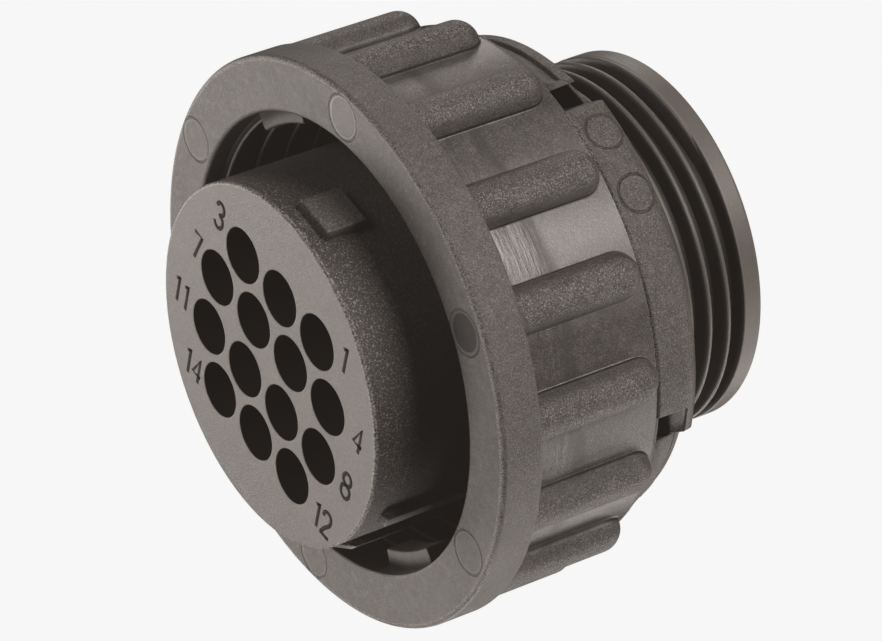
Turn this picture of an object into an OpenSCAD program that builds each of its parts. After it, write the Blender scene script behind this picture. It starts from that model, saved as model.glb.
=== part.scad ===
// Free-hanging plug of a round plastic cable connector.
// Two mouldings: the housing, which is a threaded rear body with a flange and
// a keyed fourteen-way nose, and the ribbed coupling ring that turns on it.
// Millimetres. The plug stands on the end of its rear thread, its mating
// face up (+Z). Seen from the mating face the numbered rows run along +X.

/* [Plug nose] */
// Diameter of the nose that enters the receptacle
nose_d = 23; // [22.4:0.1:23.6]
// Length of the nose ahead of the retention flange
nose_l = 16.1; // [14.5:0.1:18]
// Bevel round the mating face
nose_bevel = 0.25; // [0.1:0.05:0.5]

/* [Contact cavities] */
// Distance between neighbouring cavities
cavity_pitch = 4.1; // [4:0.05:4.3]
// Diameter of a cavity at the mating face
cavity_d = 3.55; // [3.3:0.05:3.6]
// Depth of that front bore
cavity_l = 9.2; // [7:0.1:11]
// Diameter of the throat that stops the contact
throat_d = 2.7; // [2.4:0.05:2.9]
// Length of the throat
throat_l = 1.4; // [0.8:0.1:2]
// Diameter of the wire bore behind the throat
wire_bore_d = 3.2; // [3:0.05:3.3]

/* [Polarising keys] */
// Height of the wide key above the nose
main_key_h = 0.7; // [0.4:0.05:0.9]
// Width of the wide key
main_key_w = 3.1; // [2:0.1:4]
// Length of the wide key
main_key_l = 2.9; // [2:0.1:8]
// Distance from the mating face to the wide key
main_key_setback = 1.1; // [0.5:0.1:3]
// Direction of the wide key about the axis
main_key_angle = 88; // [60:1:120]
// Height of the narrow keys above the nose
side_key_h = 0.65; // [0.55:0.05:0.75]
// Width of the narrow keys
side_key_w = 1; // [0.6:0.1:1.6]
// Length of the narrow keys
side_key_l = 8; // [4:0.1:12]
// Distance from the mating face to the first narrow key
side_key_setback = 1.4; // [1:0.1:3]
// How much nearer to the mating face the next narrow key starts
side_key_stagger = 1.1; // [0:0.1:1.2]
// Direction of the first narrow key
side_key_angle = -17.5; // [-25:0.5:-10]
// Angle from each narrow key to the next
side_key_step = -19.5; // [-30:0.5:-15]
// Number of narrow keys
side_key_count = 2; // [1:1:2]

/* [Retention flange] */
// Diameter of the flange that holds the ring
flange_d = 26.8; // [26:0.1:27]
// Thickness of the flange
flange_t = 2.35; // [1.8:0.05:3]
// Bevel on both edges of the flange
flange_bevel = 0.25; // [0.1:0.05:0.5]

/* [Rear tube] */
// Length of the tube behind the flange
rear_l = 9.75; // [9:0.05:12]
// Major diameter of the rear thread
thread_d = 23.8; // [23:0.1:24.6]
// Depth of the thread
thread_depth = 0.8; // [0.5:0.05:0.9]
// Pitch of the thread
thread_pitch = 1.41; // [1.2:0.01:1.6]
// Width of a thread crest
thread_crest = 0.35; // [0.2:0.05:0.4]
// Width of a thread root
thread_root = 0.45; // [0.3:0.05:0.5]
// Length of the plain band at the rear end
end_band_l = 1.34; // [0.8:0.02:2]
// Wall left under the thread
tube_wall = 1.1; // [0.8:0.05:1.6]
// Depth of the open tube behind the cavities
tube_depth = 9; // [7:0.1:10]

/* [Coupling ring] */
// Length of the ring
ring_l = 15.65; // [15.3:0.05:17]
// Diameter of the opening at the front
opening_d = 29.2; // [29:0.1:30.4]
// Wall from the opening to the floor of the flutes
ring_wall = 2; // [1.6:0.05:2.6]
// Thickness of the front band
band_t = 2.88; // [2:0.02:4]
// Bevel on the front edges of the ring
band_bevel = 0.3; // [0.1:0.05:0.5]
// How far the ring is turned: the direction of its first rib
ring_turn = 44.3; // [0:0.1:360]

/* [Grip ribs] */
// Number of ribs
rib_count = 16; // [12:1:20]
// Height of a rib above the floor of the flutes
rib_h = 1.4; // [1:0.05:2]
// Width of the half-round rib
rib_w = 3; // [2.8:0.05:3.4]
// Drop from the front band to the crown of a rib
rib_drop = 0.1; // [0.05:0.01:0.3]
// Distance from the collar to the rear end of a rib
rib_setback = 0.2; // [0.15:0.05:0.6]

/* [Rear collar] */
// Length of the collar behind the ribs
collar_l = 3.35; // [3.2:0.05:4]
// Height of the two pads above the floor of the flutes
pad_step = 0.15; // [0.1:0.01:0.3]
// Radius of the rounded rear corner of the pads
pad_round = 1.3; // [0.8:0.05:1.4]
// Angle from the first rib to the middle of the first pad
pad_turn = 1.5; // [-3:0.1:3]
// Fall of the recessed sectors from the ribs to the rim
recess_fall = 1.85; // [1.2:0.05:2]
// Length by which the recessed sectors run up between the ribs
recess_run = 0.05; // [0.04:0.01:0.1]
// Height of the rim along the rear edge of the recessed sectors
rim_h = 0.3; // [0.15:0.05:0.6]
// Thickness of that rim
rim_t = 0.8; // [0.6:0.05:1.1]
// Distance from the centre line of a pad to the middle of its windows
window_offset = 10.2; // [9.8:0.05:10.6]
// Width of a window
window_w = 1.4; // [1.2:0.05:2]
// Length of a window
window_l = 1.85; // [1.4:0.05:1.85]
// Thickness of the web that closes an open window at the rear
web_t = 0.3; // [0.2:0.05:0.6]

/* [Inside the ring] */
// Thickness of the rear lip that runs behind the flange
lip_t = 1.5; // [1.2:0.05:1.6]
// Overlap of the snap lugs in front of the flange
snap_h = 0.5; // [0.3:0.05:0.7]
// Thickness of a snap lug at its tip
snap_t = 0.6; // [0.4:0.05:1]
// Height of the coupling thread
coupling_h = 0.35; // [0.25:0.05:0.6]
// Width of a coupling thread crest
coupling_crest = 0.25; // [0.2:0.05:0.6]
// Width of a coupling thread at its root
coupling_root = 0.7; // [0.6:0.05:1.3]
// Pitch of the coupling thread
coupling_pitch = 2.1; // [1.8:0.05:2.4]
// Number of thread turns
coupling_turns = 4; // [3:1:4]
// Distance from the front of the ring to the first turn
coupling_inset = 1.65; // [1:0.05:2]
// Height of the two entry lugs
lug_h = 1.1; // [0.8:0.05:1.25]
// Length of the entry lugs along the axis
lug_l = 2; // [1:0.1:2.6]
// Distance from the front of the ring to the entry lugs
lug_inset = 1.2; // [0.5:0.05:1.5]
// Angle that each entry lug takes up
lug_angle = 21; // [12:0.1:40]
// Angle from the first rib to the first entry lug
lug_turn = 89.5; // [70:0.1:110]

/* [Clearances] */
// Radial running gap between the lip and the journal
run_gap = 0.1; // [0.05:0.01:0.1]
// Gap behind the flange
rear_play = 0.15; // [0.1:0.01:0.3]
// Gap in front of the flange
front_play = 0.2; // [0.1:0.01:0.3]
// Radial gap round the flange
flange_gap = 0.5; // [0.3:0.05:0.6]
// Step from the thread up to the journal
journal_step = 0.4; // [0.3:0.05:0.5]

/* [Hidden] */
$fn = 96;
eps = 0.01;

// Heights along the axis
flange_z = rear_l;
nose_z = flange_z + flange_t;
face_z = nose_z + nose_l;
ring_z = flange_z - rear_play - lip_t;
ring_top = ring_z + ring_l;
band_z = ring_top - band_t;
lip_top = ring_z + lip_t;
snap_z = nose_z + front_play;
shelf_z = snap_z + snap_t / 2;
collar_top = ring_z + collar_l;
rim_top = ring_z + rim_t;

// Radii of the housing
nose_r = nose_d / 2;
flange_r = flange_d / 2;
thread_r = thread_d / 2;
root_r = thread_r - thread_depth;
tube_r = root_r - tube_wall;
journal_r = thread_r + journal_step;
journal_z = ring_z + rear_play;

// Radii of the ring
lip_r = journal_r + run_gap;
chamber_r = flange_r + flange_gap;
open_r = opening_d / 2;
floor_r = open_r + ring_wall;
band_r = floor_r + rib_h + rib_drop;
rib_axis_r = band_r - rib_drop - rib_w / 2;
pad_r = floor_r + pad_step;
crease_r = floor_r - recess_fall;
rim_r = crease_r + rim_h;
notch_r = crease_r - 0.1;
notch_floor_r = (lip_r + chamber_r) / 2;

// Windows: straight slots beside the pads, parallel to a pad's centre line
window_in = window_offset - window_w / 2;
window_out = window_offset + window_w / 2;
window_z = ring_z + pad_round + 0.05;
window_x = sqrt(pow(chamber_r, 2) - pow(window_out, 2)) - 0.3;

// Rear thread: crests counted up from the band at the rear end
crest_half = thread_crest / 2;
flank = (thread_pitch - thread_crest - thread_root) / 2;
crest_count = floor((journal_z - end_band_l - flank) / thread_pitch);
function crest_z(i) = end_band_l - crest_half + i * thread_pitch;

// Threaded tube, journal and flange, bored through for the nose's stem
module rear_body() {
    color([0.40, 0.38, 0.37])
        rotate_extrude()
            polygon(concat(
                [[tube_r, 0], [thread_r, 0], [thread_r, end_band_l],
                 [root_r, end_band_l + flank]],
                [for (i = [1:crest_count], p = [[root_r, -crest_half - flank],
                     [thread_r, -crest_half], [thread_r, crest_half],
                     [root_r, crest_half + flank]])
                     [p[0], crest_z(i) + p[1]]],
                [[root_r, journal_z], [journal_r, journal_z],
                 [journal_r, flange_z],
                 [flange_r - flange_bevel, flange_z],
                 [flange_r, flange_z + flange_bevel],
                 [flange_r, nose_z - flange_bevel],
                 [flange_r - flange_bevel, nose_z], [tube_r, nose_z]]));
}

// A stepped bore for one contact, open at both ends
module cavity() {
    throat_z = face_z - cavity_l - throat_l;
    translate([0, 0, face_z - cavity_l])
        cylinder(d = cavity_d, h = cavity_l + 1);
    translate([0, 0, throat_z - eps])
        cylinder(d = throat_d, h = throat_l + 2 * eps);
    translate([0, 0, tube_depth - 1])
        cylinder(d = wire_bore_d, h = throat_z - tube_depth + 1);
}

// Rows of three, four, four and three: the four middle ones lie square,
// and each outer row of three nests over the row of four beside it
module cavity_layout() {
    nest = sqrt(3) / 2;
    for (side = [-1, 1]) {
        for (i = [-1.5:1:1.5])
            translate([i * cavity_pitch, side * cavity_pitch / 2, 0])
                children();
        for (i = [-1:1:1])
            translate([i * cavity_pitch,
                       side * (0.5 + nest) * cavity_pitch, 0])
                children();
    }
}

// A key that stands out of the nose, with its crown on a circle
module key(angle, w, h, l, setback) {
    rotate(angle)
        translate([0, 0, face_z - setback - l])
            intersection() {
                cylinder(r = nose_r + h, h = l);
                translate([nose_r - 1, -w / 2, 0])
                    cube([h + 2, w, l]);
            }
}

// Nose with its cavities and keys, and the stem that closes the rear tube
module plug_nose() {
    color([0.43, 0.41, 0.40])
        difference() {
            union() {
                rotate_extrude()
                    polygon([[0, tube_depth], [tube_r, tube_depth],
                             [tube_r, nose_z], [nose_r, nose_z],
                             [nose_r, face_z - nose_bevel],
                             [nose_r - nose_bevel, face_z], [0, face_z]]);
                key(main_key_angle, main_key_w, main_key_h, main_key_l,
                    main_key_setback);
                for (i = [0:side_key_count - 1])
                    key(side_key_angle + i * side_key_step, side_key_w,
                        side_key_h, side_key_l,
                        side_key_setback - i * side_key_stagger);
            }
            cavity_layout()
                cavity();
        }
}

// The turned form of the ring, without ribs and lugs
module ring_body() {
    rotate_extrude()
        polygon(concat(
            [[lip_r, ring_z]],
            [for (a = [90:-15:0])
                [pad_r - pad_round * (1 - cos(a)),
                 ring_z + pad_round * (1 - sin(a))]],
            [[pad_r, collar_top - pad_step / 2],
             [floor_r, collar_top + pad_step / 2], [floor_r, band_z],
             [band_r - band_bevel, band_z],
             [band_r, band_z + band_bevel],
             [band_r, ring_top - band_bevel],
             [band_r - band_bevel, ring_top],
             [open_r, ring_top], [open_r, shelf_z],
             [chamber_r, shelf_z], [chamber_r, lip_top],
             [lip_r, lip_top]]));
}

// Half-round bar with a bull-nosed rear end
module rib() {
    end_z = collar_top + rib_setback + rib_w / 2;
    translate([rib_axis_r, 0, end_z]) {
        cylinder(d = rib_w, h = band_z + 1 - end_z);
        sphere(d = rib_w);
    }
}

// Sunk sector of the collar between the pads, with a rim along its rear
// edge. It begins and ends in the outer part of a window
module collar_recess() {
    fall = collar_top + pad_step / 2 + recess_run - rim_top;
    over = pad_r + 1;
    intersection() {
        rotate_extrude(angle = 180)
            polygon([[rim_r, ring_z - 1], [rim_r, rim_top],
                     [crease_r, rim_top],
                     [over, rim_top + fall * (over - crease_r) / recess_fall],
                     [over, ring_z - 1]]);
        translate([-over, window_out - 0.1 * window_w, ring_z - 2])
            cube([2 * over, over, collar_l + 4]);
    }
}

// A turned block inside the ring, centred on the X axis
module inner_block(angle, points) {
    rotate(-angle / 2)
        rotate_extrude(angle = angle)
            polygon(points);
}

module coupling_thread() {
    for (i = [0:coupling_turns - 1])
        translate([0, 0, ring_top - coupling_inset - i * coupling_pitch])
            rotate_extrude()
                polygon([[open_r + 0.3, -coupling_root / 2],
                         [open_r, -coupling_root / 2],
                         [open_r - coupling_h, -coupling_crest / 2],
                         [open_r - coupling_h, coupling_crest / 2],
                         [open_r, coupling_root / 2],
                         [open_r + 0.3, coupling_root / 2]]);
}

module entry_lug() {
    top = ring_top - lug_inset;
    inner_block(lug_angle,
        [[open_r - lug_h, top - lug_l], [open_r + 0.3, top - lug_l],
         [open_r + 0.3, top], [open_r - lug_h, top]]);
}

// Lug in line with a window, ahead of the flange
module snap_lug(side) {
    tip = flange_r - snap_h;
    root = open_r + 0.3;
    top = snap_z + snap_t + root - tip;
    intersection() {
        rotate(side * 45)
            inner_block(80, [[tip, snap_z], [root, snap_z], [root, top],
                             [tip, snap_z + snap_t]]);
        translate([0, side * window_offset - window_w / 2, snap_z - 1])
            cube([open_r + 1, window_w, top - snap_z + 2]);
    }
}

// Slot through the wall beside a pad. The open one also notches the rear
// edge, down to a thin web and the lip
module window(side, open) {
    low = open ? ring_z - 1 : window_z;
    difference() {
        translate([window_x, side * window_offset - window_w / 2, low])
            cube([pad_r + 1 - window_x, window_w,
                  window_z + window_l - low]);
        if (open)
            translate([0, 0, ring_z - 2]) {
                cylinder(r = notch_r, h = web_t + 2);
                cylinder(r = notch_floor_r, h = window_z - ring_z + 2);
            }
    }
}

module coupling_ring() {
    color([0.33, 0.31, 0.30])
        rotate(ring_turn)
            difference() {
                union() {
                    difference() {
                        ring_body();
                        for (half = [0, 180])
                            rotate(pad_turn + half)
                                collar_recess();
                    }
                    for (i = [0:rib_count - 1])
                        rotate(i * 360 / rib_count)
                            rib();
                    coupling_thread();
                    for (half = [0, 180]) {
                        rotate(lug_turn + half)
                            entry_lug();
                        for (side = [-1, 1])
                            rotate(pad_turn + half)
                                snap_lug(side);
                    }
                }
                for (half = [0, 180])
                    rotate(pad_turn + half) {
                        window(1, open = true);
                        window(-1, open = false);
                    }
            }
}

rear_body();
plug_nose();
coupling_ring();
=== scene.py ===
# Free-hanging plug of a round plastic cable connector: a housing with a
# fourteen-way nose, a flange and a threaded rear tube, and a ribbed coupling
# ring that turns on it. Lengths are millimetres until a mesh is made.
import math

import bmesh
import bpy
from mathutils import Matrix, Vector
from mathutils.geometry import tessellate_polygon


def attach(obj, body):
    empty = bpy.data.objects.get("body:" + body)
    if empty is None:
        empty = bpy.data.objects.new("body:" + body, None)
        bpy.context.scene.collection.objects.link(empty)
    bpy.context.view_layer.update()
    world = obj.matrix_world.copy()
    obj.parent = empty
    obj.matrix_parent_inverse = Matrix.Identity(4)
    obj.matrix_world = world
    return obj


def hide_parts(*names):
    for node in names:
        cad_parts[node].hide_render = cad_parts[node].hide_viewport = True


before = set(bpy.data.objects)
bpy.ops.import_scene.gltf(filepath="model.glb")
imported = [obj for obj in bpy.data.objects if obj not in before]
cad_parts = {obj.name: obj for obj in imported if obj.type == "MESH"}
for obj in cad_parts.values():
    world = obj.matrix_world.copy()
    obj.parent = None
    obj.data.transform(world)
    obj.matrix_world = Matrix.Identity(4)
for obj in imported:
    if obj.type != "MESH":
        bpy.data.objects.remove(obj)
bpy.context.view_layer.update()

MM = 0.001
TAU = 2 * math.pi

# Heights along the axis
END_BAND = 1.34
RING_REAR = 8.1
JOURNAL_Z = 8.25
RIM_TOP = 8.9
TUBE_FLOOR = 9.0
SILL = 9.45
LIP_TOP = 9.6
FLANGE_Z = 9.75
PAD_MARK_Z = 9.9
WINDOW_TOP = 11.3
COLLAR_TOP = 11.45
NOSE_Z = 12.1
SNAP_Z = 12.3
SHELF_Z = 12.6
RIB_END = 13.15
BAND_Z = 20.87
LUG_Z = 22.55
RING_FRONT = 23.75
FACE_Z = 28.2

# Radii of the housing
CAVITY_R = 1.775
THROAT_R = 1.35
WIRE_R = 1.6
TUBE_R = 10.0
ROOT_R = 10.95
NOSE_R = 11.5
THREAD_R = 11.9
JOURNAL_R = 12.3
FLANGE_R = 13.4

# Radii of the ring
LIP_R = 12.4
SNAP_R = 12.9
NOTCH_FLOOR = 13.15
LUG_R = 13.5
CHAMBER_R = 13.9
CREST_R = 14.25
OPEN_R = 14.6
NOTCH_R = 14.65
CREASE_R = 14.75
RIM_R = 15.1
RIB_AXIS_R = 16.5
FLOOR_R = 16.6
PAD_R = 16.75
BAND_R = 18.1

# Turns about the axis, in degrees
RING_TURN = 44.3
PAD_TURN = 1.5
LUG_TURN = 89.5
LUG_HALF_TURN = 10.5
PAD_MARK_TURNS = (59.0, 73.5, 239.0, 253.5)

# Pads and windows: offsets of their walls from the middle plane
WALL_IN = 9.5
WALL_OUT = 10.9

# Sizes of the ring
EDGE = 0.09
PAD_ROUND = 1.3
PAD_MARK_R = 1.2
LUG_LENGTH = 2.0
LUG_HALF_WIDTH = 2.65
SNAP_LENGTH = 0.6
RIB_COUNT = 16
RIB_R = 1.5
RIB_FILLET = 0.1
COUPLING_PITCH = 2.1

# Sizes of the housing
THREAD_PITCH = 1.41
CAVITY_PITCH = 4.1
CAVITY_DEPTH = 9.2
THROAT_LENGTH = 1.4
KEY_EDGE = 0.12

# How far a rib, lug or thread reaches into the wall that carries it
SINK = 0.3


# Meshes

class Skin:
    """Points in millimetres and faces that become one object."""

    def __init__(self):
        self.points = []
        self.faces = []

    def add(self, points):
        first = len(self.points)
        self.points.extend(points)
        return range(first, len(self.points))

    def strip(self, a, b, closed=True):
        """Quads between two rows of as many points."""
        count = len(a)
        for i in range(count if closed else count - 1):
            j = (i + 1) % count
            self.faces.append((a[i], a[j], b[j], b[i]))

    def rows(self, rows, closed=True, loop=False):
        """Quads over a list of rows; loop joins the last row to the first."""
        made = [self.add(row) for row in rows]
        for a, b in zip(made, made[1:]):
            self.strip(a, b, closed)
        if loop:
            self.strip(made[-1], made[0], closed)
        return made

    def fill(self, loops):
        """Triangles over a flat face with an outline and holes."""
        index = [i for loop in loops for i in loop]
        shapes = [[Vector(self.points[i]) for i in loop] for loop in loops]
        for triangle in tessellate_polygon(shapes):
            self.faces.append(tuple(index[i] for i in triangle))

    def object(self, name, material):
        """The finished object, in metres, with its faces turned outwards."""
        mesh = bpy.data.meshes.new(name)
        mesh.from_pydata([[c * MM for c in p] for p in self.points], [], self.faces)
        work = bmesh.new()
        work.from_mesh(mesh)
        bmesh.ops.dissolve_degenerate(work, dist=1e-7, edges=work.edges)
        bmesh.ops.recalc_face_normals(work, faces=work.faces)
        work.to_mesh(mesh)
        work.free()
        mesh.shade_smooth()
        mesh.materials.append(material)
        made = bpy.data.objects.new(name, mesh)
        bpy.context.scene.collection.objects.link(made)
        return made


def polar(radius, angle, height):
    turn = math.radians(angle)
    return (radius * math.cos(turn), radius * math.sin(turn), height)


def radial(outline, angle):
    """An (r, z) outline on the radial plane at an angle."""
    return [polar(r, angle, z) for r, z in outline]


def ease(x):
    x = min(max(x, 0.0), 1.0)
    return x * x * (3 - 2 * x)


def rounded(corners, closed=True, guard=0.04):
    """Outline through corners (x, y, radius, steps), the last two optional.

    Every rounded corner keeps a guard point on each side, so that the flat
    beside it is shaded flat.
    """
    outline = []
    count = len(corners)
    for i, corner in enumerate(corners):
        here = Vector(corner[:2])
        radius, steps = corner[2:] or (0, 0)
        if not steps or (not closed and i in (0, count - 1)):
            outline.append(tuple(here))
            continue
        back = (Vector(corners[i - 1][:2]) - here).normalized()
        on = (Vector(corners[(i + 1) % count][:2]) - here).normalized()
        half = max(back.angle(on) / 2, 0.05)
        reach = radius / math.tan(half)
        middle = back + on
        if middle.length < 1e-6:
            outline.extend([tuple(here)] * (steps + 3))
            continue
        centre = here + middle.normalized() * radius / math.sin(half)
        start = here + back * reach - centre
        stop = here + on * reach - centre
        sweep = math.pi - 2 * half
        outline.append(tuple(here + back * (reach + guard)))
        for k in range(steps + 1):
            share = k / steps
            arm = (start * math.sin((1 - share) * sweep)
                   + stop * math.sin(share * sweep)) / math.sin(sweep)
            outline.append(tuple(centre + arm))
        outline.append(tuple(here + on * (reach + guard)))
    return outline


def shrunk(outline, depth):
    """A closed anticlockwise (r, z) outline moved inwards by depth."""
    moved = []
    count = len(outline)
    for i, (r, z) in enumerate(outline):
        ahead = Vector(outline[(i + 1) % count]) - Vector(outline[i])
        behind = Vector(outline[i]) - Vector(outline[i - 1])
        along = Vector((0, 0))
        for step in (ahead, behind):
            if step.length > 1e-6:
                along += step.normalized()
        if along.length > 1e-6:
            along.normalize()
        moved.append((r - along.y * depth, z + along.x * depth))
    return moved


def turned(skin, outline, closed=True):
    """Revolves an (r, z) outline about the axis."""
    lines = 192
    rows = [radial(outline, 360 * i / lines) for i in range(lines)]
    return skin.rows(rows, closed=closed, loop=True)


def capped(skin, rows):
    """A bar over rows, closed at both ends."""
    made = skin.rows(rows)
    skin.fill([made[0]])
    skin.fill([made[-1]])


def wall_angle(radius, centre, offset):
    """Direction of the point of a circle that lies beside a radial plane."""
    return centre + math.degrees(math.asin(offset / radius))


def along_wall(outline, centre, offset):
    """An outline on a plane beside the radial plane at the angle centre."""
    return [polar(r, wall_angle(r, centre, offset), z) for r, z in outline]


def wall_rows(outline, centre, wall, outward, edge=EDGE, base=None):
    """Rows that round an outline off into a wall; outward is 1 or -1.
    Below the height base the outline keeps its size."""
    steps = 3
    rows = []
    for k in range(steps + 1):
        turn = math.pi / 2 * k / steps
        inset = edge * (1 - math.cos(turn))
        shift = edge * (1 - math.sin(turn))
        shape = [old if base and old[1] < base else new
                 for old, new in zip(outline, shrunk(outline, inset))]
        rows.append(along_wall(shape, centre, wall - outward * shift))
    return rows


def lofted(outlines, start, stop):
    """Rows spread from one wall to another, the two walls left out. A wall
    is its centre and its offset."""
    rows = []
    for i, outline in enumerate(outlines):
        share = (i + 1) / (len(outlines) + 1)
        rows.append([])
        for r, z in outline:
            first = wall_angle(r, *start)
            last = wall_angle(r, *stop)
            rows[-1].append(polar(r, first + (last - first) * share, z))
    return rows


def block(skin, centre, low, high, outline, edge=0.08):
    """Lug or key: an (r, z) outline between two walls beside an angle."""
    rows = list(reversed(wall_rows(outline, centre, low, -1, edge)))
    rows += wall_rows(outline, centre, high, 1, edge)
    capped(skin, rows)


def helix(skin, flank, pitch, height, start, stop, base):
    """Ridge that winds round the axis between two angles and rises out of the
    radius base at its ends. Its section is a flank, root to crest, and the
    mirror of that: points of (r, half width, whether the point rises)."""
    section = [(r, -wide, rises) for r, wide, rises in flank] + flank[::-1]
    fade = 40
    runout = 0.4
    rows = []
    count = round((stop - start) / 5)
    for i in range(count + 1):
        angle = start + (stop - start) * i / count
        grown = ease((angle - start) / fade) * ease((stop - angle) / fade)
        width = runout + (1 - runout) * grown
        z = height + pitch * angle / 360
        rows.append([polar(base + (r - base) * grown if rises else r,
                           angle, z + wide * width)
                     for r, wide, rises in section])
    capped(skin, rows)


# Coupling ring

def ring_section():
    """Front part of the ring, ahead of the windows."""
    return rounded([
        (CHAMBER_R, WINDOW_TOP, 0.06, 2), (FLOOR_R, WINDOW_TOP, 0.06, 2),
        (FLOOR_R, BAND_Z, 0.3, 4), (BAND_R, BAND_Z, 0.2, 3),
        (BAND_R, RING_FRONT, 0.32, 5), (OPEN_R, RING_FRONT, 0.22, 4),
        (OPEN_R, SHELF_Z, 0.1, 2), (CHAMBER_R, SHELF_Z, 0.1, 2)])


def recess_section(groove):
    """Sunk sector; groove is 1 with the crease and its rim, 0 for a cone."""
    top = COLLAR_TOP + 0.06
    cone = RIM_R + (FLOOR_R - RIM_R) * (RIM_TOP - RING_REAR) / (top - RING_REAR)
    crease = cone + (CREASE_R - cone) * groove
    ledge = cone + (RIM_R - cone) * groove
    return rounded([
        (LIP_R, RING_REAR, 0.08, 2), (RIM_R, RING_REAR, 0.12, 3),
        (ledge, RIM_TOP - 0.004, 0.1, 3), (crease, RIM_TOP + 0.004, 0.08, 2),
        (FLOOR_R, top), (CHAMBER_R + 0.03, top),
        (CHAMBER_R, LIP_TOP), (LIP_R, LIP_TOP, 0.08, 2)], guard=0.02)


def pad_section(top):
    """Raised pad with its rounded rear corner."""
    return rounded([
        (LIP_R + 0.02, RING_REAR, 0.08, 2), (PAD_R, RING_REAR, PAD_ROUND, 9),
        (PAD_R, top - 0.09, 0.08, 3), (FLOOR_R - 0.05, top + 0.1),
        (CHAMBER_R + 0.05, top + 0.1),
        (CHAMBER_R, LIP_TOP - 0.2), (LIP_R + 0.02, LIP_TOP - 0.1, 0.08, 2)])


def notch_section():
    """Lip and thin web that run on behind an open window."""
    inner, rear, top = LIP_R + 0.01, RING_REAR + 0.01, LIP_TOP - 0.05
    return rounded([
        (inner, rear, 0.08, 2), (NOTCH_R, rear, 0.08, 3),
        (NOTCH_R, RING_REAR + 0.3, 0.08, 3),
        (NOTCH_FLOOR, RING_REAR + 0.3, 0.06, 2),
        (NOTCH_FLOOR, top, 0.08, 2), (inner, top, 0.08, 2)], guard=0.02)


def recess(skin, pad_angle):
    """Sunk sector between the pads. Its crease starts sharply beside the one
    and dies out before the other."""
    least = 0.02
    plain = recess_section(least)
    count = 150
    sections = []
    for i in range(1, count):
        share = i / count
        groove = ease((share - 0.008) / 0.014) * ease((0.72 - share) / 0.1)
        sections.append(recess_section(least + (1 - least) * groove))
    behind = pad_angle - 180
    rows = list(reversed(wall_rows(plain, behind, WALL_OUT, -1)))
    rows += lofted(sections, (behind, WALL_OUT + EDGE),
                   (pad_angle, -WALL_OUT - EDGE))
    rows += wall_rows(plain, pad_angle, -WALL_OUT, 1)
    capped(skin, rows)


def pad(skin, pad_angle):
    """Raised pad, and the strip and the lip that run on from its ends behind
    the closed and the open window."""
    high = pad_section(COLLAR_TOP)
    low = pad_section(SILL)
    rows = list(reversed(wall_rows(low, pad_angle, -WALL_OUT + 0.03, -1)))
    rows.append(along_wall(low, pad_angle, -WALL_IN))
    rows += list(reversed(wall_rows(high, pad_angle, -WALL_IN, -1, base=SILL)))
    rows += lofted([high] * 50, (pad_angle, -WALL_IN + EDGE),
                   (pad_angle, WALL_IN - EDGE))
    rows += wall_rows(high, pad_angle, WALL_IN, 1)
    capped(skin, rows)

    lip = notch_section()
    spacing = 0.3
    capped(skin, [along_wall(lip, pad_angle, WALL_IN + spacing * k)
                  for k in range(-1, 6)])


def snap_lug(skin, pad_angle, side):
    """Lug in line with a window, ahead of the flange."""
    top = SNAP_Z + SNAP_LENGTH
    slope = top + OPEN_R - SNAP_R
    outline = rounded([
        (SNAP_R, SNAP_Z, 0.1, 2), (OPEN_R + SINK, SNAP_Z),
        (OPEN_R + SINK, slope), (OPEN_R, slope), (SNAP_R, top, 0.1, 2)])
    low, high = sorted((side * WALL_IN, side * WALL_OUT))
    block(skin, pad_angle, low, high, outline)


def rib_profile():
    """Half of a rib's section, crown to foot, as (offset, height)."""
    sink = RIB_AXIS_R - FLOOR_R
    side = math.sqrt((RIB_R + RIB_FILLET) ** 2 - (RIB_FILLET - sink) ** 2)
    crown_end = math.atan2(side, RIB_FILLET - sink)
    crown_steps = 12
    foot_steps = 4
    profile = []
    for k in range(crown_steps + 1):
        turn = crown_end * k / crown_steps
        profile.append((RIB_R * math.sin(turn), sink + RIB_R * math.cos(turn)))
    for k in range(1, foot_steps + 1):
        turn = crown_end * (1 - k / foot_steps)
        profile.append((side - RIB_FILLET * math.sin(turn),
                        RIB_FILLET - RIB_FILLET * math.cos(turn)))
    profile.append((side + 0.1, -0.03))
    return profile


def rib(skin, angle):
    """Half-round rib with a bull-nosed rear end, its foot filleted."""
    half = rib_profile()

    def place(across, height, z):
        return polar(FLOOR_R + height, angle + math.degrees(across / FLOOR_R), z)

    rows = []
    for z in (BAND_Z + SINK, BAND_Z - 0.6, 18.0, 16.0, 14.4, RIB_END + 0.1):
        right = [place(x, h, z) for x, h in reversed(half)]
        left = [place(-x, h, z) for x, h in half[1:]]
        rows.append(right + left)
    last = skin.rows(rows, closed=False)[-1]
    turns = 16
    ends = []
    for k in range(turns + 1):
        turn = math.pi * k / turns
        ends.append([place(x * math.cos(turn), h, RIB_END - x * math.sin(turn))
                     for x, h in half])
    nose = skin.rows(ends, closed=False)
    middle = len(half) - 1
    skin.strip(last[middle::-1], nose[0], closed=False)
    skin.strip(nose[-1], last[middle:], closed=False)


def coupling_thread(skin):
    """Inner thread, whose crest is 22.1 mm up on its fifth pass of the
    direction 164 degrees."""
    flank = [(OPEN_R + SINK, 0.28, False), (OPEN_R, 0.28, False),
             (CREST_R + 0.17, 0.15, True), (CREST_R + 0.08, 0.12, True),
             (CREST_R + 0.02, 0.09, True), (CREST_R, 0.04, True)]
    height = 22.1 - COUPLING_PITCH * (4 + 164 / 360)
    helix(skin, flank, COUPLING_PITCH, height, start=20, stop=1665, base=OPEN_R)


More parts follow.
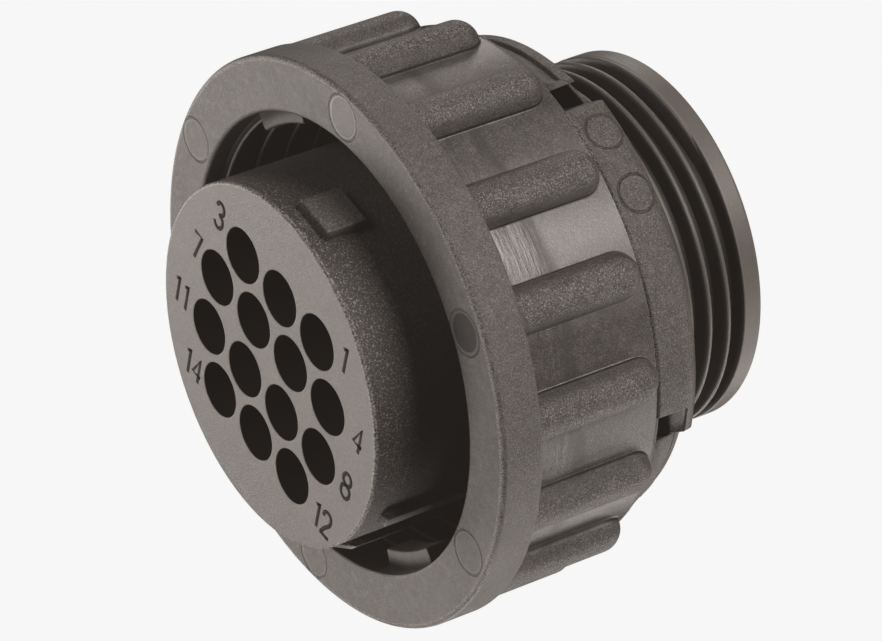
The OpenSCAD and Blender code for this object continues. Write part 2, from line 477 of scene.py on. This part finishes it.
def entry_lug(skin, angle):
    """Lug in the mouth of the ring, its ends on radial planes."""
    edge = 0.1
    outline = rounded([
        (LUG_R, LUG_Z - LUG_LENGTH, 0.15, 3), (OPEN_R + SINK, LUG_Z - LUG_LENGTH),
        (OPEN_R + SINK, LUG_Z), (LUG_R, LUG_Z, 0.15, 3)])
    ends = []
    for k in range(3):
        turn = math.pi / 4 * k
        shape = shrunk(outline, edge * (1 - math.sin(turn)))
        shift = math.degrees(edge * (1 - math.cos(turn)) / OPEN_R)
        ends.append((shape, LUG_HALF_TURN - shift))
    # The rows between start a little inside the rounded ends
    body = LUG_HALF_TURN - 0.8
    steps = 10
    rows = [radial(shape, angle - half) for shape, half in ends]
    rows += [radial(outline, angle + body * (2 * i / steps - 1))
             for i in range(steps + 1)]
    rows += [radial(shape, angle + half) for shape, half in reversed(ends)]
    capped(skin, rows)


def coupling_ring(material):
    skin = Skin()
    turned(skin, ring_section())
    for half in (0, 180):
        pad_angle = RING_TURN + PAD_TURN + half
        recess(skin, pad_angle)
        pad(skin, pad_angle)
        for side in (-1, 1):
            snap_lug(skin, pad_angle, side)
    for i in range(RIB_COUNT):
        rib(skin, RING_TURN + i * 360 / RIB_COUNT)
    coupling_thread(skin)
    for half in (0, 180):
        entry_lug(skin, RING_TURN + LUG_TURN + half)
    return skin.object("ring_moulding", material)


# Housing

# Direction of each key, its two walls, height, rear and front end and slope
KEYS = [(88.0, -1.47, 1.57, 0.7, 24.2, 27.1, 0.1),
        (-17.5, -0.5, 0.5, 0.5, 18.8, 26.8, 0.25),
        (-37.0, -0.5, 0.5, 0.5, 19.9, 28.1, 1.1)]


def cavity_places():
    """Rows of three, four, four and three, the outer rows nested."""
    near = CAVITY_PITCH / 2
    outer = (0.5 + math.sqrt(3) / 2) * CAVITY_PITCH
    three = (-1, 0, 1)
    four = (-1.5, -0.5, 0.5, 1.5)
    for y, xs in ((outer, three), (near, four), (-near, four), (-outer, three)):
        for x in xs:
            yield x * CAVITY_PITCH, y


def cavity(skin, x, y):
    """Stepped bore; returns its loops at the face and at the tube floor."""
    throat_front = FACE_Z - CAVITY_DEPTH
    throat_rear = throat_front - THROAT_LENGTH
    lead = 0.05
    outline = rounded([
        (CAVITY_R + lead + 0.06, FACE_Z), (CAVITY_R, FACE_Z, lead, 3),
        (CAVITY_R, throat_front, 0.1, 2), (THROAT_R, throat_front, 0.1, 2),
        (THROAT_R, throat_rear, 0.1, 2), (WIRE_R, throat_rear, 0.1, 2),
        (WIRE_R, TUBE_FLOOR, 0.15, 3), (WIRE_R + 0.25, TUBE_FLOOR)],
        closed=False)
    lines = 48
    rows = []
    for r, z in outline:
        rows.append([(x + r * math.cos(TAU * i / lines),
                      y + r * math.sin(TAU * i / lines), z)
                     for i in range(lines)])
    made = skin.rows(rows)
    return made[0], made[-1]


def rear_thread(skin):
    """Outer thread of the rear tube, ahead of its plain end band."""
    flank = [(ROOT_R - 0.15, 0.44, False), (ROOT_R, 0.44, False),
             (ROOT_R + 0.06, 0.41, True), (THREAD_R - 0.16, 0.2, True),
             (THREAD_R - 0.07, 0.16, True), (THREAD_R - 0.015, 0.11, True),
             (THREAD_R, 0.05, True)]
    helix(skin, flank, THREAD_PITCH, 1.02, start=40, stop=1600, base=ROOT_R)


def key_outline(height, rear, front, slope):
    """Key that stands on the nose, its front end sloped."""
    crown = NOSE_R + height
    return rounded([
        (NOSE_R - 1, rear), (crown, rear, 0.12, 3),
        (crown, front - slope, 0.12, 3), (NOSE_R - 0.01, front),
        (NOSE_R - 1, front)])


def housing(material):
    skin = Skin()
    outline = rounded([
        (TUBE_R - 0.3, TUBE_FLOOR), (TUBE_R, TUBE_FLOOR, 0.2, 3),
        (TUBE_R, 0, 0.15, 3), (THREAD_R, 0, 0.22, 4),
        (THREAD_R, END_BAND, 0.1, 3), (ROOT_R, END_BAND + 0.22, 0.12, 3),
        (ROOT_R, JOURNAL_Z, 0.1, 2), (JOURNAL_R, JOURNAL_Z, 0.1, 2),
        (JOURNAL_R, FLANGE_Z, 0.1, 2), (FLANGE_R, FLANGE_Z, 0.25, 3),
        (FLANGE_R, NOSE_Z, 0.25, 3), (NOSE_R, NOSE_Z, 0.2, 3),
        (NOSE_R, FACE_Z, 0.2, 4), (NOSE_R - 0.4, FACE_Z)], closed=False)
    rows = turned(skin, outline, closed=False)
    face = [[row[-1] for row in rows]]
    floor_loops = [[row[0] for row in rows]]
    for x, y in cavity_places():
        front, rear = cavity(skin, x, y)
        face.append(front)
        floor_loops.append(rear)
    skin.fill(face)
    skin.fill(floor_loops)
    rear_thread(skin)
    for angle, low, high, height, rear, front, slope in KEYS:
        outline = key_outline(height, rear, front, slope)
        block(skin, angle, low, high, outline, KEY_EDGE)
    return skin.object("housing_moulding", material)


# Position numbers

# Strokes of each digit about the middle of its foot
DIGITS = {
    "1": [[(-0.24, 1.62), (0.06, 1.9), (0.06, 0)]],
    "2": [[(-0.4, 1.4), (-0.34, 1.72), (-0.05, 1.9), (0.27, 1.8), (0.39, 1.42),
           (0.25, 1.02), (-0.15, 0.5), (-0.42, 0)], [(-0.5, 0), (0.42, 0)]],
    "3": [[(-0.4, 1.55), (-0.2, 1.85), (0.15, 1.86), (0.38, 1.58), (0.33, 1.2),
           (0.02, 1.0), (0.34, 0.82), (0.42, 0.42), (0.17, 0.04), (-0.2, 0.04),
           (-0.42, 0.34)]],
    "4": [[(0.2, 0), (0.2, 1.9), (-0.43, 0.55), (0.43, 0.55)]],
    "7": [[(-0.4, 1.88), (0.4, 1.88), (-0.1, 0)]],
    "8": [[(0.02, 1.0), (0.34, 1.2), (0.38, 1.58), (0.15, 1.87), (-0.15, 1.87),
           (-0.38, 1.58), (-0.34, 1.2), (0.02, 1.0), (0.38, 0.78), (0.4, 0.34),
           (0.16, 0.02), (-0.16, 0.02), (-0.42, 0.34), (-0.38, 0.78),
           (-0.02, 1.0)]],
}
DIGIT_PITCH = 0.97
DIGIT_HALF_HEIGHT = 0.95

# Digits whose longer strokes are curved
CURVED = "238"

# Section of a stroke: offset across it and height above the face
STROKE = ((0.155, -0.02), (0.125, 0.02), (-0.125, 0.02), (-0.155, -0.02))

# Middle of each position number on the mating face
NUMBERS = [("3", -6.9, 6.5), ("7", -8.6, 2.6), ("11", -9.3, -1.9),
           ("14", -7.1, -6.1), ("1", 6.9, 6.6), ("4", 9.4, 2.3),
           ("8", 9.15, -1.8), ("12", 7.55, -6.1)]


def flowing(points):
    """The same line, bent smoothly through its points."""
    steps = 4
    ends = [Vector(p) for p in [points[0]] + points + [points[-1]]]
    line = []
    for a, b, c, d in zip(ends, ends[1:], ends[2:], ends[3:]):
        for k in range(steps):
            t = k / steps
            line.append(b + ((c - a) * t + (2 * a - 5 * b + 4 * c - d) * t ** 2
                             + (3 * b - a - 3 * c + d) * t ** 3) / 2)
    return [tuple(p) for p in line] + [points[-1]]


def stroke(skin, points):
    """Low ridge along a line on the mating face."""
    rows = []
    for i, point in enumerate(points):
        before = Vector(points[max(i - 1, 0)])
        after = Vector(points[min(i + 1, len(points) - 1)])
        along = (after - before).normalized()
        side = Vector((-along.y, along.x))
        rows.append([(*(Vector(point) + side * across), FACE_Z + height)
                     for across, height in STROKE])
    made = skin.rows(rows)
    skin.faces.append(tuple(made[0]))
    skin.faces.append(tuple(made[-1]))


def numbers(material):
    skin = Skin()
    for text, x, y in NUMBERS:
        foot = y - DIGIT_HALF_HEIGHT
        for i, digit in enumerate(text):
            middle = x + DIGIT_PITCH * (i - (len(text) - 1) / 2)
            for points in DIGITS[digit]:
                if digit in CURVED and len(points) > 2:
                    points = flowing(points)
                stroke(skin, [(middle + u, foot + v) for u, v in points])
    return skin.object("position_numbers", material)


# Node graphs

class Value:
    """A socket that takes part in arithmetic by adding Math nodes."""

    def __init__(self, graph, socket):
        self.graph = graph
        self.socket = socket

    def math(self, operation, *terms):
        return self.graph.node("ShaderNodeMath", {"operation": operation}, terms)

    def __add__(self, other):
        return self.math("ADD", self, other)

    __radd__ = __add__

    def __sub__(self, other):
        return self.math("SUBTRACT", self, other)

    def __rsub__(self, other):
        return self.math("SUBTRACT", other, self)

    def __mul__(self, other):
        return self.math("MULTIPLY", self, other)

    __rmul__ = __mul__

    def __or__(self, other):
        """The larger of two values, which joins two masks."""
        return self.math("MAXIMUM", self, other)

    __ror__ = __or__

    def __abs__(self):
        return self.math("ABSOLUTE", self)


class Graph:
    """The node tree of a material or of the world."""

    def __init__(self, owner):
        owner.use_nodes = True
        self.owner = owner
        self.tree = owner.node_tree
        self.tree.nodes.clear()

    def node(self, kind, settings, sockets, output=0):
        """Adds a node and returns one output. sockets is a sequence in the
        node's order, or a dictionary by socket name or number."""
        made = self.tree.nodes.new(kind)
        for key, value in settings.items():
            setattr(made, key, value)
        pairs = sockets.items() if isinstance(sockets, dict) else enumerate(sockets)
        for key, value in pairs:
            if isinstance(value, Value):
                self.tree.links.new(value.socket, made.inputs[key])
            else:
                made.inputs[key].default_value = value
        return Value(self, made.outputs[output]) if made.outputs else None

    def noise(self, place, scale, detail, roughness):
        return self.node("ShaderNodeTexNoise", {}, {
            "Vector": place, "Scale": scale, "Detail": detail,
            "Roughness": roughness})

    def rise(self, value, low, high):
        """0 below low, 1 above high, eased between."""
        return self.node("ShaderNodeMapRange", {"interpolation_type": "SMOOTHSTEP"},
                         {"Value": value, "From Min": low, "From Max": high})

    def fall(self, value, low, high):
        """1 below low, 0 above high, eased between."""
        return 1 - self.rise(value, low, high)

    def mix(self, factor, a, b):
        """Colour a where factor is 0 and b where it is 1."""
        return self.node("ShaderNodeMix", {"data_type": "RGBA"},
                         {0: factor, 6: a, 7: b}, 2)

    def painted(self, tone, coats):
        """A colour under coats of (mask, colour), laid on in turn."""
        for mask, colour in coats:
            tone = self.mix(mask, tone, colour)
        return tone

    def vector(self, operation, *terms, output="Vector"):
        """One Vector Math node."""
        return self.node("ShaderNodeVectorMath", {"operation": operation},
                         terms, output)

    def length(self, place):
        return self.vector("LENGTH", place, output="Value")

    def near(self, place, centre):
        """Distance from a point."""
        return self.length(self.vector("SUBTRACT", place, centre))

    def offset(self, place, angle):
        """Distance from the plane through the axis that is square to a
        direction."""
        way = polar(1.0, angle, 0.0)
        return abs(self.vector("DOT_PRODUCT", place, way, output="Value"))


# Plastics

def grey(level, warmth=1.0):
    """A warm dark grey in linear light."""
    return (level * (1 + 0.055 * warmth), level, level * (1 - 0.05 * warmth), 1.0)


BLACK = grey(0.014, 3.0)
DEEP = grey(0.03, 2.5)
PALE = grey(0.36)
BRIGHT = grey(0.42)


def plastic_start(name):
    """A graph, with the place, distance from the axis and height in mm."""
    graph = Graph(bpy.data.materials.new(name))
    place = graph.node("ShaderNodeTexCoord", {}, (), "Object")
    place = graph.vector("MULTIPLY", place, (1000.0, 1000.0, 1000.0))
    radius = graph.length(graph.vector("MULTIPLY", place, (1.0, 1.0, 0.0)))
    z = graph.node("ShaderNodeSeparateXYZ", {}, (place,), "Z")
    return graph, place, radius, z


def plastic_end(graph, colour, roughness, height, specular=0.5, painted_shade=0.0):
    """Plastic that turns near black and dull where painted_shade is 1: painted
    shade, standing in for the shadow in bores, grooves and creases.
    """
    bump = graph.node("ShaderNodeBump", {}, {
        "Strength": 1.0, "Distance": MM, "Height": height})
    shader = graph.node("ShaderNodeBsdfPrincipled", {}, {
        "Base Color": colour, "Roughness": roughness, "Normal": bump,
        "Specular IOR Level": specular})
    dull = graph.node("ShaderNodeBsdfPrincipled", {}, {
        "Base Color": grey(0.013, 3.0), "Roughness": 0.9,
        "Specular IOR Level": 0.08})
    both = graph.node("ShaderNodeMixShader", {}, (painted_shade, shader, dull))
    graph.node("ShaderNodeOutputMaterial", {}, {"Surface": both})
    return graph.owner


def circle(graph, distance, radius, half_width):
    """1 on the line of a small circle, 0 off it."""
    return graph.fall(abs(distance - radius), half_width * 0.35, half_width)


# Direction, distance from the axis, darkness and burr of each ejector mark
EJECTOR_MARKS = [(99.0, 16.42, 0.0, 0.9), (167.6, 16.4, 0.1, 0.3),
                 (43.7, 16.17, 0.9, 0.5), (349.2, 16.28, 0.2, 0.2),
                 (223.8, 16.3, 0.1, 0.2), (278.2, 16.35, 0.1, 0.2)]
EJECTOR_R = 1.42


def ejector_marks(graph, place):
    """Circles that the ejector pins leave on the front of the ring, as dark
    lines, dark discs and light burrs."""
    lines = discs = burrs = 0.0
    for angle, reach, dark, burr in EJECTOR_MARKS:
        away = graph.near(place, polar(reach, angle, RING_FRONT))
        inner = graph.fall(away, EJECTOR_R - 0.3, EJECTOR_R - 0.12)
        lines = lines | circle(graph, away, EJECTOR_R, 0.11)
        discs = discs | graph.fall(away, EJECTOR_R - 0.15, EJECTOR_R) * dark
        burrs = burrs | circle(graph, away, EJECTOR_R - 0.14, 0.13) * burr
        burrs = burrs | inner * (1 - dark) * burr * 0.25
    return lines, discs, burrs


def pad_marks(graph, place):
    """Two plain round marks on each pad."""
    marks = 0.0
    for angle in PAD_MARK_TURNS:
        away = graph.near(place, polar(PAD_R, angle, PAD_MARK_Z))
        marks = marks | circle(graph, away, PAD_MARK_R, 0.12)
    return marks


def pad_step_light_and_shade(graph, place, radius, z):
    """Line along the front edge of each pad, where light and dark specks are
    painted highlight on the step's edge and painted shadow in its crease.
    """
    across = graph.offset(place, RING_TURN + PAD_TURN + 90)
    step_light_and_shade = graph.fall(abs(z - COLLAR_TOP), 0.05, 0.11)
    step_light_and_shade = step_light_and_shade * graph.rise(radius, 16.3, 16.45)
    return step_light_and_shade * graph.fall(across, WALL_IN - 0.2, WALL_IN)


def slanted_shade(graph, place, z):
    """Darker band that lies across the middle of every flute."""
    wide_place = graph.vector("MULTIPLY", place, (0.3, 0.3, 0.1))
    drift = graph.noise(wide_place, scale=1.0, detail=1.0, roughness=0.5)
    return graph.fall(abs(z + drift * 1.6 - 18.3), 0.15, 0.75)


def painted_sheen_flutes(graph, place):
    """1 in the two flutes that get a painted sheen, where the cutter's strokes are
    also painted strongest.
    """
    across = graph.offset(place, RING_TURN + 180 / RIB_COUNT)
    return graph.rise(across, 15.6, 16.0)


def entry_lug_tops(graph, place, z):
    """1 on the front ends of the two entry lugs, and level with them."""
    across = graph.offset(place, RING_TURN + LUG_TURN + 90)
    within = graph.fall(across, LUG_HALF_WIDTH - 0.05, LUG_HALF_WIDTH + 0.05)
    return within * graph.rise(z, LUG_Z - 0.14, LUG_Z - 0.04)


def ring_plastic():
    graph, place, radius, z = plastic_start("ring_plastic")
    rise, fall = graph.rise, graph.fall
    cloud = graph.noise(place, scale=0.25, detail=4.0, roughness=0.6)
    dust = graph.noise(place, scale=1.6, detail=4.0, roughness=0.7)
    speck = graph.noise(place, scale=10.5, detail=2.0, roughness=0.7)
    flat_place = graph.vector("MULTIPLY", place, (0.3, 0.3, 3.2))
    streak = graph.noise(flat_place, scale=1.0, detail=3.0, roughness=0.6)

    # Inside of the ring: entry lugs, thread crests and the web behind them
    inside = fall(radius, OPEN_R - 0.1, OPEN_R + 0.1)
    lug = entry_lug_tops(graph, place, z)
    # The thread crests inside the ring are painted lighter, a painted highlight,
    # and kept out of the painted shade.
    crest = fall(radius, CREST_R + 0.06, CREST_R + 0.15)
    crest = crest * (1 - lug) * rise(z, SHELF_Z, SHELF_Z + 0.2)
    web = fall(z, LIP_TOP, LIP_TOP + 0.2)

    # Outside: front face, band and collar, and what is spark textured
    outside = 1 - inside
    front = rise(z, RING_FRONT - 0.12, RING_FRONT - 0.02)
    sides = 1 - front
    band = rise(z, BAND_Z - 0.1, BAND_Z + 0.15)
    below_band = fall(z, BAND_Z - 0.1, BAND_Z - 0.02)
    collar = fall(z, COLLAR_TOP - 0.1, COLLAR_TOP + 0.1)
    raised = rise(radius, FLOOR_R + 0.12, FLOOR_R + 0.45)
    spark = raised | band | collar * 0.9
    spark = ((spark - front * 0.75) | 0.0) * outside
    flute = (1 - spark) * sides * outside
    # Pale specks along the rounded front edge of the band: a painted highlight.
    edge = rise(radius, BAND_R - 0.42, BAND_R - 0.3)
    edge = edge * rise(z, RING_FRONT - 0.24, RING_FRONT - 0.12)

    # Ribs, from the foot up to the crown
    foot = rise(radius, FLOOR_R + 0.015, FLOOR_R + 0.04)
    foot = foot * fall(radius, FLOOR_R + 0.14, FLOOR_R + 0.28)
    foot = foot * below_band * rise(z, COLLAR_TOP + 0.1, COLLAR_TOP + 0.2)
    rib_rear = RIB_END - RIB_R
    # Painted highlight on the rounded rear ends of the ribs, next to the collar.
    tip_highlight = rise(radius, FLOOR_R + 0.04, FLOOR_R + 0.08) * below_band
    tip_highlight = tip_highlight * rise(z, COLLAR_TOP + 0.08, COLLAR_TOP + 0.14)
    tip_highlight = tip_highlight * fall(z, rib_rear + 0.1, rib_rear + 0.45)
    crown = rise(radius, FLOOR_R + 0.75, FLOOR_R + 1.25) * below_band
    # The sides of the ribs below their crowns get painted shade.
    flank = rise(radius, FLOOR_R + 0.3, FLOOR_R + 0.5) * below_band * (1 - crown)

    # Marks of the mould and streaks of its cutter, and a painted sheen on two
    # flutes
    lines, discs, burrs = ejector_marks(graph, place)
    lines = lines * rise(dust, 0.36, 0.54)
    rings = pad_marks(graph, place) * rise(dust, 0.35, 0.5)
    step_light_and_shade = pad_step_light_and_shade(graph, place, radius, z)
    slant = slanted_shade(graph, place, z) * flute
    painted_sheen = painted_sheen_flutes(graph, place)
    lined = rise(z, 16.9, 17.9) * flute * (painted_sheen * 0.75 + 0.25)
    # Pale streaks of the cutter's strokes, painted as glints, strongest in the two
    # flutes with the painted sheen.
    glint_streaks = rise(streak, 0.5, 0.66) * lined
    shade = fall(streak, 0.36, 0.48) * lined

    # Pale specks are grain; their extra share on the rib crowns is a painted
    # highlight along the crowns.
    light = spark * 0.4 + crown * 0.35 + flute * 0.2 + 0.12
    dark = spark * 0.7 + flute * 0.3 + 0.16
    tone = graph.mix(rise(cloud, 0.32, 0.68), grey(0.066, 1.8), grey(0.094, 1.6))
    tone = graph.painted(tone, [
        (rise(speck, 0.52, 0.66) * light, PALE),
        (fall(speck, 0.35, 0.48) * dark, BLACK),
        (rise(dust, 0.5, 0.72) * (front * 0.15 + 0.25), grey(0.2)),
        (fall(dust, 0.32, 0.48) * (front * 0.15 + 0.3), DEEP),
        (band * sides * outside * 0.14, grey(0.26)),
        (flank * 0.3, DEEP),
        (tip_highlight * 0.6, PALE),
        (edge * rise(speck, 0.44, 0.56) * 0.7, PALE),
        (lines * front * 0.6, BLACK),
        (discs * front * 0.55, grey(0.02, 2.5)),
        (burrs * front * 0.7, BRIGHT),
        (rings * 0.6, BLACK),
        (painted_sheen * flute * 0.15, grey(0.34)),
        (glint_streaks * 0.4, PALE),
        (shade * 0.4, DEEP),
        (slant * 0.45, DEEP),
        (inside * crest * 0.6, grey(0.25)),
        (step_light_and_shade * rise(speck, 0.44, 0.54), grey(0.34)),
        (step_light_and_shade * fall(speck, 0.38, 0.46) * 0.6, BLACK)])
    roughness = (0.38 + spark * 0.05 + front * 0.1 + speck * 0.08
                 - flute * 0.13 - glint_streaks * 0.04 + slant * 0.1 + inside * lug * 0.2)
    height = (speck * (spark * 0.045 + 0.016) + streak * lined * 0.07
              - (lines * 0.06 + burrs * 0.03) * front - rings * 0.08)
    # Painted shade: near black inside the ring, lifted on the thread crests and the
    # web and left off the lug fronts, and a painted shadow along the feet of the
    # ribs, left off their highlighted rear ends; the ejector discs are darkened
    # through the same shader.
    painted_shade = (inside * (1 - lug) * (0.93 - crest * 0.8 - web * 0.4)
              | foot * (1 - tip_highlight) * 0.8 | (discs - burrs * 0.6) * front * 0.6)
    return plastic_end(graph, tone, roughness, height, painted_shade=painted_shade)


def housing_plastic():
    graph, place, radius, z = plastic_start("housing_plastic")
    rise, fall = graph.rise, graph.fall
    cloud = graph.noise(place, scale=0.3, detail=4.0, roughness=0.6)
    speck = graph.noise(place, scale=8.5, detail=2.0, roughness=0.7)

    # Nose: face, sides, tops of the keys, edge of the face and the cavities
    face = rise(z, FACE_Z - 0.06, FACE_Z - 0.01)
    nose = rise(z, NOSE_Z, NOSE_Z + 0.5) * (1 - face)
    ahead = rise(z, 23.0, 27.6) * nose
    # Painted highlight on the tops of the keys.
    key_top_highlight = rise(radius, NOSE_R + 0.3, NOSE_R + 0.48) * nose
    # Bright specks along the edge of the face: a painted highlight.
    rim = rise(radius, NOSE_R - 0.24, NOSE_R - 0.12)
    rim = rim * rise(z, FACE_Z - 0.3, FACE_Z - 0.1)
    bore = fall(radius, NOSE_R - 0.45, NOSE_R - 0.3) * (1 - face)
    bore = bore * rise(z, TUBE_FLOOR + 0.1, TUBE_FLOOR + 0.3)

    # Rear thread: grooves, crests, end band and the edge of that band
    thread = fall(z, JOURNAL_Z - 0.3, JOURNAL_Z)
    thread = thread * rise(radius, TUBE_R + 0.3, TUBE_R + 0.5)
    groove = thread * fall(radius, THREAD_R - 0.35, THREAD_R - 0.12)
    # The thread crests are painted lighter: a painted highlight.
    crest = thread * rise(radius, THREAD_R - 0.06, THREAD_R - 0.01)
    crest = crest * rise(z, END_BAND, END_BAND + 0.15)
    end_band = thread * fall(z, END_BAND, END_BAND + 0.1)
    # Painted highlight along the front edge of the end band.
    lip = thread * rise(radius, THREAD_R - 0.12, THREAD_R - 0.04)
    lip = lip * rise(z, END_BAND - 0.16, END_BAND - 0.06)

    # More pale specks towards the face: painted light on the part of the nose that
    # stands clear of the ring's shadow.
    light = ahead * 0.6 + nose * 0.15 + 0.15
    dark = nose * 0.6 + face * 0.2
    tone = graph.mix(rise(cloud, 0.32, 0.68), grey(0.075, 1.8), grey(0.098, 1.6))
    tone = graph.painted(tone, [
        # Painted light: the face is painted lighter than the rest of the housing,
        # as the light falls on it.
        (face * 0.7, grey(0.13, 1.6)),
        # Painted shade on the sides of the nose, where the ring casts its shadow.
        (nose * 0.4, DEEP),
        (key_top_highlight * 0.6, grey(0.19)),
        # Painted light: the plain end band is painted lighter, as lit from the
        # rear.
        (end_band * 0.6, grey(0.15, 1.6)),
        (rise(speck, 0.55, 0.67) * light, PALE),
        (fall(speck, 0.38, 0.52) * dark, BLACK),
        (rim * rise(speck, 0.4, 0.56) * 0.75, BRIGHT),
        (lip * (1 - crest) * 0.4, grey(0.25)),
        (crest * 0.25, grey(0.2))])
    roughness = 0.42 + nose * 0.1 + speck * 0.08
    height = speck * (nose * 0.04 + face * 0.012 + 0.012)
    # Painted shade: the cavity bores and the grooves of the rear thread turn near
    # black.
    painted_shade = bore | groove * 0.7
    return plastic_end(graph, tone, roughness, height, painted_shade=painted_shade)


# The numbers are raised in the face's own plastic; their near-black colour is
# painted shade, standing in for the shadows along their strokes.
def painted_shade_number_plastic():
    graph, place = plastic_start("painted_shade_number_plastic")[:2]
    speck = graph.noise(place, scale=9.0, detail=2.0, roughness=0.6)
    tone = graph.mix(graph.rise(speck, 0.4, 0.65), grey(0.012, 3.0),
                     grey(0.03, 2.0))
    return plastic_end(graph, tone, 0.6 + speck * 0.1, speck * 0.01,
                       specular=0.07)


# Stage: metres, but millimetres for the camera's lens and sensor

CAMERA_PLACE = Vector((0.17921, 0.21859, 0.17565))
VIEW_RIGHT = Vector((0.55175445, 0.14875858, -0.82063263))
VIEW_UP = Vector((-0.6270605, 0.72273854, -0.29059271))
VIEW_BACK = Vector((0.54987467, 0.67492213, 0.49205484))
LENS = 217.241
SENSOR = 36.0
TARGET = Vector((0, 0, 0.014))
WHITE = (1.0, 1.0, 1.0, 1.0)
PAPER_GLOW = 0.93
BLACK_LEVEL = (-0.0145, -0.0122, -0.0108)
SOFTBOX_SIZE = 0.2
SOFTBOX_COLOUR = (1.0, 0.93, 0.885)

# How far each softbox stands to the right, up and back towards the camera,
# and its power
SOFTBOXES = {
    "key_right": (0.332, 0.192, 0.321, 1.82),
    "low_left": (-0.426, -0.246, -0.087, 1.4),
    "rear_low": (0.0, -0.41, -0.287, 1.2),
    "rear_left": (-0.41, 0.0, -0.287, 0.98),
    "side_right": (0.426, -0.246, -0.087, 0.6),
    "rear_right": (0.29, -0.29, -0.287, 0.54),
    "upper_left": (-0.332, 0.192, 0.321, 0.52),
    "rear_top": (0.0, 0.41, -0.287, 0.38),
    "upper_right": (0.241, 0.418, 0.129, 0.18),
}


def camera():
    data = bpy.data.cameras.new("camera")
    data.lens = LENS
    data.sensor_width = SENSOR
    data.clip_start = 0.01
    made = bpy.data.objects.new("camera", data)
    turn = Matrix((VIEW_RIGHT, VIEW_UP, VIEW_BACK)).transposed()
    made.matrix_world = Matrix.Translation(CAMERA_PLACE) @ turn.to_4x4()
    bpy.context.scene.collection.objects.link(made)
    bpy.context.scene.camera = made


def softbox(name, right, up, back, power):
    """Square light that faces the plug."""
    data = bpy.data.lights.new(name, "AREA")
    data.size = SOFTBOX_SIZE
    data.energy = power
    data.color = SOFTBOX_COLOUR
    made = bpy.data.objects.new(name, data)
    place = TARGET + VIEW_RIGHT * right + VIEW_UP * up + VIEW_BACK * back
    made.location = place
    made.rotation_euler = (place - TARGET).to_track_quat("Z", "Y").to_euler()
    bpy.context.scene.collection.objects.link(made)


def floor():
    """Sheet of pale paper just under the plug."""
    radius, height, sides = 1200, -0.02, 64
    skin = Skin()
    centre = skin.add([(0, 0, height)])[0]
    edge = skin.add([polar(radius, 360 * i / sides, height) for i in range(sides)])
    for i in range(sides):
        skin.faces.append((centre, edge[i], edge[(i + 1) % sides]))
    graph = Graph(bpy.data.materials.new("floor_paper"))
    glow = graph.node("ShaderNodeEmission", {}, {
        "Color": WHITE, "Strength": PAPER_GLOW})
    graph.node("ShaderNodeOutputMaterial", {}, {"Surface": glow})
    made = skin.object("floor", graph.owner)
    made.visible_diffuse = False
    made.visible_glossy = False
    made.visible_shadow = False


def surroundings():
    """Background as pale as the paper, which casts no light on the plug."""
    graph = Graph(bpy.data.worlds.new("studio"))
    seen = graph.node("ShaderNodeBackground", {}, (WHITE, PAPER_GLOW))
    unlit = graph.node("ShaderNodeBackground", {}, (WHITE, 0.0))
    direct = graph.node("ShaderNodeLightPath", {}, (), "Is Camera Ray")
    both = graph.node("ShaderNodeMixShader", {}, (direct, unlit, seen))
    graph.node("ShaderNodeOutputWorld", {}, {"Surface": both})
    bpy.context.scene.world = graph.owner


def picture_tones():
    """Plain view, its black lifted a little and warm."""
    view = bpy.context.scene.view_settings
    view.view_transform = "Standard"
    view.look = "None"
    view.use_curve_mapping = True
    view.curve_mapping.black_level = BLACK_LEVEL
    view.curve_mapping.update()


camera()
floor()
surroundings()
for name, setting in SOFTBOXES.items():
    softbox(name, *setting)
picture_tones()

ring = coupling_ring(ring_plastic())
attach(ring, "coupling_ring")
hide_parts("coupling_ring")

body = housing(housing_plastic())
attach(body, "housing")
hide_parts("rear_body", "plug_nose")

digits = numbers(painted_shade_number_plastic())
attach(digits, "housing")
